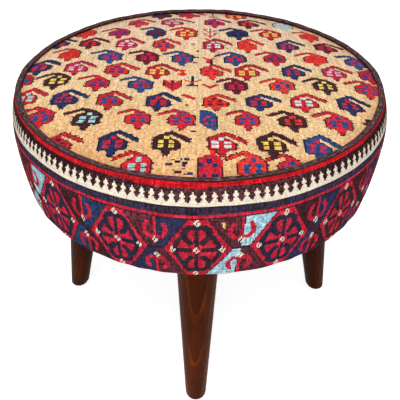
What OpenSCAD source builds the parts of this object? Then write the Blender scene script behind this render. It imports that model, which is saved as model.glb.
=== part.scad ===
// Round footstool: an upholstered drum with a pile-rug seat and a flat-woven side, on four splayed turned legs.
// The origin is on the floor under the middle of the drum, +Z is up, and the front leg points to -Y.

/* [Drum] */
// Widest diameter, over the cover
drum_w = 534; // [470:2:620]
// Height of the seam between seat and side, above the floor
seam_h = 450; // [430:1:480]
// Height of the drum's underside, above the floor
clearance_h = 311; // [280:1:325]
// Height of the widest line above the underside
belly_h = 87; // [78:1:100]
// Radius of the side's curve above the widest line
shoulder_r = 134; // [115:1:200]
// Radius of the side's curve below the widest line
flank_r = 640; // [450:5:1000]
// Radius of the padded lower edge
edge_r = 13; // [9:1:15]
// Rise of the seat's crown above the seam
crown_h = 9; // [4:1:16]
// How flat the crown is in the middle
crown_power = 3; // [2:0.5:5]

/* [Covers] */
// Thickness of the flat-woven side cover
kilim_t = 3; // [2:0.5:4]
// Thickness of the pile-rug seat cover
pile_t = 6; // [4:0.5:8]
// Width of the hem that is turned under the base
hem_w = 30; // [22:1:38]
// Width of the welt, a folded strip laid over the seam
welt_w = 12; // [9:0.5:15]
// Height of the welt
welt_h = 6; // [4:0.5:8]
// Thickness of the dust cover under the base
dust_t = 1; // [0.5:0.5:1.5]
// Width of the dust cover that lies on the hem
dust_lap = 22; // [12:1:26]

/* [Padding] */
// Thickness of the seat foam at the rim
foam_h = 40; // [30:1:50]
// Thickness of the wadding over the foam
wadding_t = 8; // [5:0.5:12]
// Padding between the hoop and the cover at the widest line
side_pad = 20; // [18:1:30]
// Clearance between soft layers
layer_gap = 0.3; // [0.2:0.1:0.5]

/* [Frame] */
// Thickness of the plywood base board
base_t = 18; // [15:1:21]
// Thickness of the plywood top board
top_t = 12; // [9:1:15]
// Thickness of the bent hardboard hoop
hoop_t = 3; // [2:0.5:4]
// Width of an upright, along the rim
upright_w = 28; // [20:1:40]
// Depth of an upright, towards the middle
upright_d = 50; // [36:1:70]
// Depth of the housings that the uprights sit in
housing_d = 5; // [3:1:6]
// Clearance round a woodworking joint
wood_fit = 0.15; // [0.1:0.05:0.3]

/* [Legs] */
// Distance from the widest line in to the middle of a foot
foot_inset = 32.5; // [26:0.5:50]
// Outward lean of a leg from upright, in degrees
splay = 10.3; // [8.8:0.1:14]
// Diameter at the foot
foot_d = 32.6; // [26:0.2:40]
// Diameter at the top of a leg
leg_d = 64; // [48:1:70]
// Radius of the eased edge round the foot
foot_ease = 5; // [2:0.5:6]
// Chamfer round the top of a leg
top_chamfer = 1.5; // [0.5:0.5:3]
// Space between the top rim of a leg and the dust cover
rim_gap = 0.5; // [0.3:0.1:3]

/* [Leg plates] */
// Side of the square plate
plate_w = 60; // [54:1:66]
// Thickness of the flange
plate_t = 2.5; // [2:0.5:3]
// Corner radius of the flange
plate_corner = 8; // [4:1:12]
// Diameter of the slanted boss at the leg
boss_d = 34; // [26:1:40]
// Extra diameter of the boss at the flange
boss_flare = 6; // [2:1:8]
// Distance between neighbouring screw holes
plate_pitch = 44; // [42:1:46]
// Distance from the plate to the edge of its opening in the dust cover
plate_margin = 3; // [2:0.5:4]

/* [Fasteners] */
// Diameter of the hanger bolts
bolt_d = 8; // [6:1:10]
// Length of the hanger bolts
bolt_l = 50; // [44:1:56]
// Length of hanger bolt inside the leg
bolt_in_leg = 28; // [22:1:34]
// Length of the turned point
bolt_point = 6; // [3:1:8]
// Diameter of the base board's clearance hole round a hanger bolt
bolt_room_d = 14; // [12:1:18]
// Spare depth of the holes past the ends of bolts and nails
hole_spare = 2; // [1:0.5:3]
// Clearance on the radius between a thread and its hole
thread_fit = 0.05; // [0.02:0.01:0.1]
// Shank diameter of the wood screws
screw_d = 4; // [3.5:0.5:5]
// Head diameter of the wood screws
screw_head_d = 8; // [7:0.5:8.5]
// Height of the countersunk heads
screw_head_h = 2.2; // [1.8:0.1:2.4]
// Length of the plate screws
plate_screw_l = 16; // [12:1:17]
// Distance by which the upright screws stop short of the upright's middle
screw_stop = 2; // [1:0.5:3]

/* [Glides] */
// Diameter of the nail-on glides
glide_d = 18; // [14:1:21]
// Height of the glides under the feet
glide_t = 2; // [1.5:0.5:3]
// Diameter of the glide's nail
nail_d = 2; // [1.5:0.5:3]
// Length of the glide's nail
nail_l = 15; // [10:1:20]

/* [Hidden] */
$fn = 96;
SIDE_STEPS = 14; // points up each side line
EDGE_STEPS = 6; // points round the lower edge
CROWN_STEPS = 12; // points across the crown
UPRIGHTS = 8;
LEG_NAMES = ["front", "right", "back", "left"];
LEGS = [for (i = [0 : 3]) [LEG_NAMES[i], 360 / 4 * (i - 1)]]; // name and angle

// Heights of the layers, from the floor up
base_z = clearance_h + kilim_t;
deck_z = base_z + base_t;
cover_z = seam_h - pile_t;
foam_z = cover_z - layer_gap - wadding_t;
seat_z = foam_z - foam_h;
upright_h = seat_z - top_t - deck_z;
belly_z = clearance_h + belly_h;

// The side's two arcs are tangent at the widest line, and the lower edge's arc is tangent to the flank
widest_r = drum_w / 2;
shoulder_c = widest_r - shoulder_r;
flank_c = widest_r - flank_r;
edge_z = clearance_h + edge_r;
edge_c = flank_c + sqrt(pow(flank_r - edge_r, 2) - pow(edge_z - belly_z, 2));
edge_end = asin((edge_z - belly_z) / (flank_r - edge_r));

seam_r = side_r(seam_h, 0);
welt_r = seam_r - welt_w / 2;
crown_r = seam_r - welt_w;
rim_r = side_r(seam_h, kilim_t + layer_gap);
hem_r = edge_c - hem_w;
hoop_r = widest_r - kilim_t - side_pad;
board_r = hoop_r - hoop_t;

// The leg's axis runs from the foot's centre on the floor up and in to the plate
foot_r = widest_r - foot_inset;
leg_top_z = clearance_h - dust_t - rim_gap - leg_d / 2 * sin(splay);
leg_l = leg_top_z / cos(splay);
plate_r = foot_r - base_z * tan(splay);
bolt_out = bolt_l - bolt_in_leg;
base_screw_l = base_t + upright_h / 2 - screw_stop;
top_screw_l = top_t + upright_h / 2 - screw_stop;
opening_w = plate_w + 2 * plate_margin;

// Radius of the side at height z, inset by d along its normal
function side_r(z, d) =
    z > belly_z
        ? shoulder_c + sqrt(pow(shoulder_r - d, 2) - pow(z - belly_z, 2))
        : flank_c + sqrt(pow(flank_r - d, 2) - pow(z - belly_z, 2));

// Points up the side between two heights, without the first
function side_run(z0, z1, d) =
    [for (i = [1 : SIDE_STEPS]) let (z = z0 + (z1 - z0) * i / SIDE_STEPS) [side_r(z, d), z]];

// Points from the flat underside round the lower edge and up the side to top_z
function side_line(d, top_z) =
    let (r = edge_r - d)
    concat(
        [for (i = [0 : EDGE_STEPS])
            let (a = -90 + (90 + edge_end) * i / EDGE_STEPS) [edge_c + r * cos(a), edge_z + r * sin(a)]],
        side_run(edge_z + r * sin(edge_end), top_z, d)
    );

function reversed(points) = [for (i = [len(points) - 1 : -1 : 0]) points[i]];

// Height of the crown above its rim at radius r
function crown(r) = crown_h * (1 - pow(r / crown_r, crown_power));

// Points of a crowned face from the axis out to the crown's rim
function crown_line(z) = [for (i = [0 : CROWN_STEPS]) let (r = crown_r * i / CROWN_STEPS) [r, z + crown(r)]];

// Places its children on each upright, +X outwards
module on_upright(i) {
    rotate(360 / UPRIGHTS * (i - 0.5)) children();
}

// Runs its children's +Z up the axis of the leg at angle a, from the floor
module on_leg_axis(a) {
    rotate(a) translate([foot_r, 0, 0]) rotate([0, -splay, 0]) children();
}

// Puts the origin of its children where the leg's axis meets the base board's lower face
module on_plate(a) {
    rotate(a) translate([plate_r, 0, base_z]) children();
}

module at_plate_screws() {
    for (x = [-1, 1], y = [-1, 1]) translate([x, y, 0] * plate_pitch / 2) children();
}

// A countersunk screw standing on its head, grown by fit for its hole
module wood_screw(l, fit = 0) {
    cylinder(h = l + fit, r = screw_d / 2 + fit);
    cylinder(h = screw_head_h, r1 = screw_head_d / 2 + fit, r2 = screw_d / 2 + fit);
}

// The screws that hold the plate of the leg at angle a
module screws_of_plate(a, fit = 0) {
    on_plate(a) translate([0, 0, -plate_t]) at_plate_screws() wood_screw(plate_screw_l, fit);
}

// Screws up through the base board, in the outer third of each upright
module screws_of_base(i, fit = 0) {
    on_upright(i) translate([board_r - upright_d / 3, 0, base_z]) wood_screw(base_screw_l, fit);
}

// Screws down through the top board, in the inner third of each upright
module screws_of_top(i, fit = 0) {
    on_upright(i) translate([board_r - upright_d * 2 / 3, 0, seat_z]) mirror([0, 0, 1])
        wood_screw(top_screw_l, fit);
}

// An upright's block, grown by fit for the housings
module upright_block(i, fit = 0) {
    intersection() {
        on_upright(i) translate([board_r - upright_d - fit, -upright_w / 2 - fit, deck_z - housing_d])
            cube([upright_d * 2, upright_w + 2 * fit, upright_h + 2 * housing_d]);
        cylinder(h = seam_h, r = board_r);
    }
}

// The hanger bolt of the leg at angle a, grown by fit
module bolt_shape(a, fit = 0) {
    on_leg_axis(a) translate([0, 0, leg_l - bolt_in_leg]) {
        translate([0, 0, bolt_point]) cylinder(h = bolt_l - bolt_point, r = bolt_d / 2 + fit);
        cylinder(h = bolt_point, r1 = bolt_d / 8 + fit, r2 = bolt_d / 2 + fit);
    }
}

module glide_shape(a, fit = 0) {
    rotate(a) translate([foot_r, 0, 0]) {
        cylinder(h = glide_t, r = glide_d / 2);
        cylinder(h = glide_t + nail_l + fit, r = nail_d / 2 + fit);
    }
}

module base_board() {
    color([0.80, 0.66, 0.46]) difference() {
        translate([0, 0, base_z]) cylinder(h = base_t, r = board_r);
        for (i = [1 : UPRIGHTS]) {
            upright_block(i, wood_fit);
            screws_of_base(i, thread_fit);
        }
        for (l = LEGS) {
            screws_of_plate(l[1], thread_fit);
            on_leg_axis(l[1]) cylinder(h = leg_l + bolt_out + hole_spare, r = bolt_room_d / 2);
        }
    }
}

module top_board() {
    color([0.82, 0.69, 0.50]) difference() {
        translate([0, 0, seat_z - top_t]) cylinder(h = top_t, r = board_r);
        for (i = [1 : UPRIGHTS]) {
            upright_block(i, wood_fit);
            screws_of_top(i, thread_fit);
        }
    }
}

module hoop() {
    color([0.50, 0.36, 0.24]) translate([0, 0, base_z]) difference() {
        cylinder(h = seat_z - base_z, r = hoop_r);
        translate([0, 0, -1]) cylinder(h = seat_z - base_z + 2, r = board_r);
    }
}

module upright(i) {
    color([0.86, 0.74, 0.55]) difference() {
        upright_block(i);
        screws_of_base(i, thread_fit);
        screws_of_top(i, thread_fit);
    }
}

module side_foam() {
    inset = kilim_t + layer_gap;
    inner_r = hoop_r + layer_gap;
    color([0.93, 0.90, 0.78]) rotate_extrude()
        polygon(concat([[inner_r, clearance_h + inset]], side_line(inset, seat_z), [[inner_r, seat_z]]));
}

module seat_foam() {
    inset = kilim_t + layer_gap;
    color([0.95, 0.92, 0.80]) rotate_extrude()
        polygon(concat(
            [[0, seat_z], [side_r(seat_z, inset), seat_z]],
            side_run(seat_z, foam_z, inset),
            reversed(crown_line(foam_z))
        ));
}

module wadding() {
    inset = kilim_t + layer_gap;
    top_z = foam_z + wadding_t;
    color([0.97, 0.97, 0.95]) rotate_extrude()
        polygon(concat(
            crown_line(foam_z),
            [[side_r(foam_z, inset), foam_z], [side_r(top_z, inset), top_z]],
            reversed(crown_line(top_z))
        ));
}

// The pile rug: crowned, with a flat ledge under the welt
module seat_cover() {
    color([0.85, 0.68, 0.45]) rotate_extrude()
        polygon(concat(
            crown_line(cover_z),
            [[rim_r, cover_z], [rim_r, seam_h]],
            reversed(crown_line(seam_h))
        ));
}

// The flat-woven side, turned under the base as a hem
module side_cover() {
    color([0.60, 0.12, 0.16]) rotate_extrude()
        polygon(concat(
            [[hem_r, clearance_h]],
            side_line(0, seam_h),
            reversed(side_line(kilim_t, seam_h)),
            [[hem_r, base_z]]
        ));
}

module welt() {
    half_h = welt_h / 2;
    color([0.28, 0.23, 0.25]) rotate_extrude() translate([welt_r, seam_h + half_h]) {
        square([welt_w - welt_h, welt_h], center = true);
        for (side = [-1, 1]) translate([side * (welt_w / 2 - half_h), 0]) circle(r = half_h);
    }
}

module dust_cover() {
    color([0.12, 0.12, 0.13]) difference() {
        translate([0, 0, clearance_h - dust_t]) cylinder(h = dust_t, r = hem_r + dust_lap);
        for (l = LEGS) on_plate(l[1]) cube([opening_w, opening_w, 4 * base_t], center = true);
    }
}

// A straight taper, cut level at the floor, with its lower edge eased all round
module leg(a) {
    foot_r_top = foot_d / 2;
    ease_points = [for (t = [0 : 15 : 90]) foot_ease * [sin(t), 1 - cos(t)]];
    color([0.36, 0.18, 0.10]) difference() {
        intersection() {
            on_leg_axis(a) rotate_extrude() polygon([
                [0, -foot_d / 2],
                [foot_r_top, -foot_d / 2],
                [foot_r_top, 0],
                [leg_d / 2 - top_chamfer / 4, leg_l - top_chamfer],
                [leg_d / 2 - top_chamfer, leg_l],
                [0, leg_l]
            ]);
            rotate(a) translate([foot_r, 0, glide_t]) rotate_extrude() polygon(concat(
                [[0, 0]],
                [for (p = ease_points) [foot_r_top - foot_ease + p[0], p[1]]],
                [[foot_r_top + leg_top_z, leg_top_z + leg_d], [0, leg_top_z + leg_d]]
            ));
        }
        bolt_shape(a, thread_fit);
        glide_shape(a, thread_fit);
    }
}

// A square flange with a slanted boss, bored along the leg's axis
module leg_plate(a) {
    straight_w = plate_w - 2 * plate_corner;
    color([0.62, 0.62, 0.60]) difference() {
        union() {
            on_plate(a) translate([0, 0, -plate_t]) linear_extrude(plate_t) {
                square([plate_w, straight_w], center = true);
                square([straight_w, plate_w], center = true);
                for (x = [-1, 1], y = [-1, 1]) translate([x, y] * straight_w / 2) circle(r = plate_corner);
            }
            intersection() {
                on_leg_axis(a) translate([0, 0, leg_l])
                    cylinder(h = plate_w / 2, r1 = boss_d / 2, r2 = boss_d / 2 + boss_flare);
                on_plate(a) translate([-plate_w / 2, -plate_w / 2, -plate_w]) cube([plate_w, plate_w, plate_w]);
            }
        }
        on_leg_axis(a) translate([0, 0, leg_l - plate_w / 2]) cylinder(h = plate_w, r = bolt_d / 2 + thread_fit);
        screws_of_plate(a, thread_fit);
    }
}

module hanger_bolt(a) {
    color([0.70, 0.70, 0.68]) bolt_shape(a);
}

module glide(a) {
    color([0.15, 0.14, 0.14]) glide_shape(a);
}

module plate_screws() {
    color([0.72, 0.70, 0.62]) for (l = LEGS) screws_of_plate(l[1]);
}

module base_screws() {
    color([0.72, 0.70, 0.62]) for (i = [1 : UPRIGHTS]) screws_of_base(i);
}

module top_screws() {
    color([0.72, 0.70, 0.62]) for (i = [1 : UPRIGHTS]) screws_of_top(i);
}

base_board();
top_board();
hoop();
for (i = [1 : UPRIGHTS]) upright(i);
side_foam();
seat_foam();
wadding();
seat_cover();
side_cover();
welt();
dust_cover();
for (l = LEGS) leg(l[1]);
for (l = LEGS) leg_plate(l[1]);
for (l = LEGS) hanger_bolt(l[1]);
for (l = LEGS) glide(l[1]);
plate_screws();
base_screws();
top_screws();
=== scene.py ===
import math

import bpy
import numpy as np
from mathutils import Matrix, Vector
from mathutils.bvhtree import BVHTree


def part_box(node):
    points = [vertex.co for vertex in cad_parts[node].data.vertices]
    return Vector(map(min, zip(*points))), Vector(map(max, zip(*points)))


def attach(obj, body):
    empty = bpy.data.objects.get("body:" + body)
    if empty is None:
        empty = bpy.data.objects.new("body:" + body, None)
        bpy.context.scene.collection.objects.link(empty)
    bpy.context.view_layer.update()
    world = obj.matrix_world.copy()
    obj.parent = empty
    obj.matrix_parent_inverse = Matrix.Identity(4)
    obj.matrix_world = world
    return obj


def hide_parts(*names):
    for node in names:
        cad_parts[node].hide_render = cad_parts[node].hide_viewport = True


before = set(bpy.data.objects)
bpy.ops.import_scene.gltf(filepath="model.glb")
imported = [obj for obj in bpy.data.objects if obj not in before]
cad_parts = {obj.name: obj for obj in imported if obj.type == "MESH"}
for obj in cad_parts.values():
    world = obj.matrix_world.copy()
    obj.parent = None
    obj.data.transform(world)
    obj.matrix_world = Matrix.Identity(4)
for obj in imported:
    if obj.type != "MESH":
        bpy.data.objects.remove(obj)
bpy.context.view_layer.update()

# Studio
# A white floor under an even white sky, with soft lamps. The camera stands in front of the footstool, looks
# down on the seat and leans over by less than a degree, as the photograph does.


class Wire:
    """What comes out of a node. Arithmetic on it adds the Math nodes, so 1 - mask is written as it reads."""

    def __init__(self, tree, socket):
        self.tree = tree
        self.socket = socket

    def maths(self, operation, first, second=0.0):
        return self.tree.add("ShaderNodeMath", {"operation": operation}, {0: first, 1: second})

    def __add__(self, other):
        return self.maths("ADD", self, other)

    def __sub__(self, other):
        return self.maths("SUBTRACT", self, other)

    def __rsub__(self, other):
        return self.maths("SUBTRACT", other, self)

    def __mul__(self, other):
        return self.maths("MULTIPLY", self, other)

    def __truediv__(self, other):
        return self.maths("DIVIDE", self, other)

    def __pow__(self, other):
        return self.maths("POWER", self, other)

    def __gt__(self, other):
        return self.maths("GREATER_THAN", self, other)

    def __abs__(self):
        return self.maths("ABSOLUTE", self)

    __radd__ = __add__
    __rmul__ = __mul__


class Tree:
    """A node tree that is being built."""

    def __init__(self, tree):
        self.tree = tree

    def feed(self, socket, value):
        if isinstance(value, Wire):
            self.tree.links.new(value.socket, socket)
        else:
            socket.default_value = value

    def add(self, kind, settings={}, inputs={}, output=0):
        """Adds a node with its settings, then feeds its inputs. Returns one of its outputs."""
        node = self.tree.nodes.new(kind)
        for name, value in settings.items():
            if name == "stops":
                stops = node.color_ramp.elements
                stops.remove(stops[1])
                stops[0].position, stops[0].color = value[0]
                for position, colour in value[1:]:
                    stops.new(position).color = colour
            else:
                setattr(node, name, value)
        for name, value in inputs.items():
            self.feed(node.inputs[name], value)
        return Wire(self, node.outputs[output])

    def split(self, vector):
        """The x, y and z of a vector."""
        node = self.add("ShaderNodeSeparateXYZ", {}, {"Vector": vector}).socket.node
        return [Wire(self, node.outputs[axis]) for axis in "XYZ"]


class Finish(Tree):
    """A material. Its constants sit on the shader's own sockets, and wear() feeds what varies over it."""

    def __init__(self, name, constants={}):
        self.material = bpy.data.materials.new(name)
        self.material.use_nodes = True
        super().__init__(self.material.node_tree)
        self.shader = self.tree.nodes["Principled BSDF"]
        self.wear(constants)

    def wear(self, sockets):
        for name, value in sockets.items():
            self.feed(self.shader.inputs[name], value)

    def place(self, scale=(1, 1, 1), turn=(0, 0, 0), origin=(0, 0, 0)):
        """The object's own coordinates, seen from an origin, turned, then stretched."""
        spot = self.add("ShaderNodeTexCoord", {}, {}, "Object")
        frame_of = {"Vector": spot, "Location": origin, "Rotation": turn}
        turned = self.add("ShaderNodeMapping", {"vector_type": "TEXTURE"}, frame_of)
        return self.add("ShaderNodeMapping", {}, {"Vector": turned, "Scale": scale})

    def noise(self, vector, scale, detail=2.0, roughness=0.5):
        sizes = {"Vector": vector, "Scale": scale, "Detail": detail, "Roughness": roughness}
        return self.add("ShaderNodeTexNoise", {}, sizes)

    def streaks(self, spot, scale, detail=2.0, roughness=0.5):
        """Noise with a scale of its own along each axis."""
        drawn = self.add("ShaderNodeMapping", {}, {"Vector": spot, "Scale": scale})
        return self.noise(drawn, 1.0, detail, roughness)

    def mix(self, factor, first, second, how="MIX"):
        settings = {"data_type": "RGBA", "blend_type": how}
        return self.add("ShaderNodeMix", settings, {0: factor, 6: first, 7: second}, 2)

    def bump(self, height, depth):
        self.wear({"Normal": self.add("ShaderNodeBump", {}, {"Height": height, "Distance": depth})})


def seen_directly(tree):
    """1 where the camera, a mirror or glass sees the surface, and 0 for the light it gives."""
    seen = tree.add("ShaderNodeLightPath", {}, {}, "Is Camera Ray")
    for ray in ("Glossy", "Transmission"):
        seen = seen.maths("MAXIMUM", seen, tree.add("ShaderNodeLightPath", {}, {}, "Is " + ray + " Ray"))
    return seen


def add_object(name, data):
    obj = bpy.data.objects.new(name, data)
    scene.collection.objects.link(obj)
    return obj


def make_mesh(name, points, faces):
    mesh = bpy.data.meshes.new(name)
    mesh.from_pydata(np.asarray(points).tolist(), [], [list(map(int, f)) for f in faces])
    mesh.update()
    return add_object(name, mesh)


sky_light = 0.24
floor_lift = 0.79
floor_half = 7.0

scene = bpy.context.scene
scene.view_settings.view_transform = "Standard"
scene.world = bpy.data.worlds.new("white sky")
scene.world.use_nodes = True
sky = Tree(scene.world.node_tree)
sky_strength = sky_light + (1 - sky_light) * seen_directly(sky)
sky.feed(sky.tree.nodes["Background"].inputs["Strength"], sky_strength)
sky.tree.nodes["Background"].inputs["Color"].default_value = (1, 1, 1, 1)

paper = Finish("white paper", {"Roughness": 0.9, "Specular IOR Level": 0.1})
paper.wear({"Base Color": (0.86, 0.86, 0.86, 1)})
paper.wear({"Emission Color": (1, 1, 1, 1), "Emission Strength": floor_lift * seen_directly(paper)})
corners = [(x * floor_half, y * floor_half, 0.0) for x, y in ((-1, -1), (1, -1), (1, 1), (-1, 1))]
floor = make_mesh("floor", corners, [(0, 1, 2, 3)])
floor.data.materials.append(paper.material)


def add_lamp(name, spot, aim, size, power):
    """A square soft lamp at a spot, turned to its aim."""
    light = bpy.data.lights.new(name, "AREA")
    light.shape = "SQUARE"
    light.size = size
    light.energy = power
    lamp = add_object(name, light)
    lamp.location = spot
    lamp.rotation_euler = (Vector(aim) - Vector(spot)).to_track_quat("-Z", "Y").to_euler()


middle = (0, 0, 0.36)
add_lamp("main_lamp", (-0.15, -0.85, 2.65), middle, 1.2, 54)
add_lamp("fill_lamp", (1.3, -2.0, 1.5), middle, 1.6, 2)
add_lamp("low_lamp", (-0.1, -2.4, 0.6), middle, 1.4, 23)

# The camera: its place, how far it looks down and leans, and the framing
camera_spot = Vector((0, -0.6709, 0.7780))
look_down = math.radians(39.94)
lean = math.radians(0.79)
camera = add_object("camera", bpy.data.cameras.new("camera"))
camera.data.sensor_width = 36.0
camera.data.lens = 45.53
camera.data.shift_x = 0.0041
camera.matrix_world = (
    Matrix.Translation(camera_spot)
    @ Matrix.Rotation(math.pi / 2 - look_down, 4, "X")
    @ Matrix.Rotation(lean, 4, "Z")
)
scene.camera = camera

# Boards, uprights and hoop
# The drum's frame, all inside the covers: two birch plywood boards, eight pine uprights housed and screwed
# between them, and a strip of hardboard bent round the boards and stapled on.


def dye(red, green, blue):
    """A colour from 8-bit numbers, as the shaders take it."""
    tones = [c / 255 for c in (red, green, blue)]
    return tuple(c / 12.92 if c <= 0.04045 else ((c + 0.055) / 1.055) ** 2.4 for c in tones) + (1.0,)


def coat(obj, look):
    """Puts a finish on an object, in place of any that it has."""
    obj.data.materials.clear()
    obj.data.materials.append(look.material)


def give(node, look):
    """Puts a finish on a CAD node that keeps its own shape."""
    coat(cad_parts[node], look)


def dress(obj, look, slot, *nodes):
    """Gives a new piece its finish, and hides the CAD nodes it stands for."""
    coat(obj, look)
    obj.data.shade_smooth()
    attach(obj, "root")
    if nodes:
        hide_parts(*nodes)


def plywood():
    ply_t = 0.0015
    look = Finish("birch plywood", {"Specular IOR Level": 0.3})
    along = look.noise(look.place(scale=(9, 160, 160)), 1.0, 5.0, 0.6)
    flecks = look.noise(look.place(scale=(60, 900, 900)), 1.0, 2.0)
    height = look.split(look.place(scale=(1, 1, 1 / ply_t)))[2]
    layer = height.maths("FRACT", height * 0.5) > 0.5
    face = look.mix(along, dye(205, 170, 120), dye(228, 200, 155))
    face = look.mix((flecks > 0.62) * 0.5, face, dye(176, 138, 92))
    look.wear({"Base Color": look.mix(layer * 0.45, face, dye(150, 112, 72))})
    look.wear({"Roughness": 0.55 + along * 0.2})
    look.bump(along + flecks * 0.4, 0.0002)
    return look


def pine(name, turn):
    look = Finish("pine " + name, {"Specular IOR Level": 0.3})
    spot = look.place(scale=(1, 1, 0.12), turn=(0.2, 0.1, turn))
    waves = {"Vector": spot, "Scale": 38.0, "Distortion": 3.0, "Detail": 2.0}
    rings = look.add("ShaderNodeTexWave", {"wave_type": "RINGS", "rings_direction": "Z"}, waves, "Fac")
    look.wear({"Base Color": look.mix(rings, dye(226, 196, 142), dye(190, 146, 92))})
    look.wear({"Roughness": 0.6 + rings * 0.15})
    look.bump(rings, 0.0002)
    return look


def mottled(name, constants, grain, tones, depth, dullness=None):
    """A finish mottled by one noise, its grain given as scale, detail and roughness."""
    look = Finish(name, constants)
    spots = look.noise(look.place(), *grain)
    look.wear({"Base Color": look.mix(spots, *tones)})
    if dullness:
        look.wear({"Roughness": dullness + spots * 0.3})
    look.bump(spots, depth)
    return look


uprights = sorted(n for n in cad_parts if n.startswith("upright_"))
board_look = plywood()
for board in ("base_board", "top_board"):
    give(board, board_look)
for turn, upright in enumerate(uprights):
    give(upright, pine(upright, turn * 0.8))
brown_board = (dye(88, 58, 36), dye(134, 96, 62))
give("hoop", mottled("hardboard", {"Specular IOR Level": 0.3}, (700.0, 5.0, 0.7), brown_board, 0.0003, 0.5))

# Leg plates, hanger bolts and wood screws
# Pressed steel plates with a slanted boss, zinc plated. Each takes a hanger bolt along the leg's axis and is
# held by four cross-head screws. The screws in the uprights are the same sort, and don't show.
legs = ("front", "right", "back", "left")


def zinc(name, tone, dullness):
    look = Finish(name, {"Metallic": 1.0})
    patches = look.add("ShaderNodeTexVoronoi", {}, {"Vector": look.place(), "Scale": 260.0}, "Color")
    patch = look.add("ShaderNodeSeparateColor", {}, {"Color": patches})
    scuffs = look.noise(look.place(scale=(1, 1, 4)), 900.0, 4.0, 0.7)
    look.wear({"Base Color": look.mix(patch * 0.4 + scuffs * 0.3, tone, dye(150, 150, 146))})
    look.wear({"Roughness": dullness + patch * 0.12 + scuffs * 0.1})
    look.bump(scuffs, 0.00006)
    return look


plate_zinc = zinc("zinc plate", dye(196, 198, 200), 0.34)
screw_zinc = zinc("yellow zinc screw", dye(206, 186, 132), 0.3)
for leg in legs:
    give("leg_plate_" + leg, plate_zinc)
    give("hanger_bolt_" + leg, plate_zinc)
for screws in ("base_screws", "top_screws"):
    give(screws, screw_zinc)


class Recipe(Tree):
    """A Geometry Nodes tree with named numbers, for small parts that repeat."""

    def __init__(self, name, numbers):
        super().__init__(bpy.data.node_groups.new(name, "GeometryNodeTree"))
        self.numbers = numbers
        self.keys = {}
        for label, number in numbers.items():
            kind = "NodeSocketInt" if isinstance(number, int) else "NodeSocketFloat"
            socket = self.tree.interface.new_socket(label, in_out="INPUT", socket_type=kind)
            self.keys[label] = socket.identifier
        self.tree.interface.new_socket("Geometry", in_out="OUTPUT", socket_type="NodeSocketGeometry")
        self.source = self.tree.nodes.new("NodeGroupInput")

    def __getitem__(self, label):
        return Wire(self, self.source.outputs[label])

    def vector(self, x, y, z):
        return self.add("ShaderNodeCombineXYZ", {}, {"X": x, "Y": y, "Z": z})

    def join(self, *parts):
        joined = self.add("GeometryNodeJoinGeometry")
        for part in parts:
            self.feed(joined.socket.node.inputs[0], part)
        return joined

    def move(self, shape, x, y, z, turn=(0, 0, 0)):
        place = {"Geometry": shape, "Translation": self.vector(x, y, z), "Rotation": turn}
        return self.add("GeometryNodeTransform", {}, place)

    def make(self, shape, look):
        """Ends the tree, gives it its numbers and keeps what it makes as a plain mesh."""
        solid = self.add("GeometryNodeRealizeInstances", {}, {"Geometry": shape})
        dressed = self.add("GeometryNodeSetMaterial", {}, {"Geometry": solid, "Material": look.material})
        self.feed(self.tree.nodes.new("NodeGroupOutput").inputs["Geometry"], dressed)
        obj = make_mesh(self.tree.name, [], [])
        nodes = obj.modifiers.new("recipe", "NODES")
        nodes.node_group = self.tree
        for label, key in self.keys.items():
            nodes[key] = self.numbers[label]
        mesh = bpy.data.meshes.new_from_object(obj.evaluated_get(bpy.context.evaluated_depsgraph_get()))
        obj.modifiers.clear()
        obj.data = mesh
        return obj


plate_low, plate_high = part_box("leg_plate_right")
screw_low, screw_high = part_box("plate_screws")
plate_c = (plate_low.x + plate_high.x) / 2
head_r = 0.004
driven = Recipe("wood_screws", {
    "Ring": plate_c,
    "Pitch": 2 * (screw_high.x - head_r - plate_c),
    "Head Radius": head_r,
    "Head Height": 0.0022,
    "Shank Radius": 0.002,
    "Length": screw_high.z - screw_low.z,
    "Point": 0.004,
    "Tip Radius": 0.0002,
    "Recess": 0.0052,
    "Recess Width": 0.0011,
    "Recess Depth": 0.0022,
    "Height": screw_low.z,
    "Seed": 4,
})
shank, head_h, point = driven["Shank Radius"], driven["Head Height"], driven["Point"]
cone = {"Vertices": 32, "Radius Top": shank, "Radius Bottom": driven["Head Radius"], "Depth": head_h}
head = driven.add("GeometryNodeMeshCone", {}, cone)
slot_size = driven.vector(driven["Recess"], driven["Recess Width"], driven["Recess Depth"])
slit = driven.add("GeometryNodeMeshCube", {}, {"Size": slot_size})
cut = {"operation": "DIFFERENCE", "solver": "EXACT"}
cross = driven.add("GeometryNodeMeshBoolean", cut, {"Mesh 1": head})
driven.feed(cross.socket.node.inputs["Mesh 2"], slit)
driven.feed(cross.socket.node.inputs["Mesh 2"], driven.move(slit, 0, 0, 0, (0, 0, math.pi / 2)))
straight = driven["Length"] - head_h - point
rod_r = shank * 0.98
rod = driven.add("GeometryNodeMeshCylinder", {}, {"Vertices": 20, "Radius": rod_r, "Depth": straight})
tip = {"Vertices": 20, "Radius Top": driven["Tip Radius"], "Radius Bottom": rod_r, "Depth": point}
screw = driven.join(
    cross,
    driven.move(rod, 0, 0, head_h + straight / 2),
    driven.move(driven.add("GeometryNodeMeshCone", {}, tip), 0, 0, driven["Length"] - point),
)
pattern = {"Size X": driven["Pitch"], "Size Y": driven["Pitch"], "Vertices X": 2, "Vertices Y": 2}
square = driven.add("GeometryNodeMeshGrid", {}, pattern)
ring = driven.add("GeometryNodeMeshCircle", {}, {"Vertices": 4, "Radius": driven["Ring"]})
holes = driven.add("GeometryNodeInstanceOnPoints", {}, {"Points": ring, "Instance": square})
holes = driven.add("GeometryNodeRealizeInstances", {}, {"Geometry": holes})
turns = {0: (0, 0, 0), 1: (0, 0, math.pi / 2), 8: driven["Seed"]}
turns = driven.add("FunctionNodeRandomValue", {"data_type": "FLOAT_VECTOR"}, turns)
in_holes = {"Points": holes, "Instance": screw, "Rotation": turns}
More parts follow.
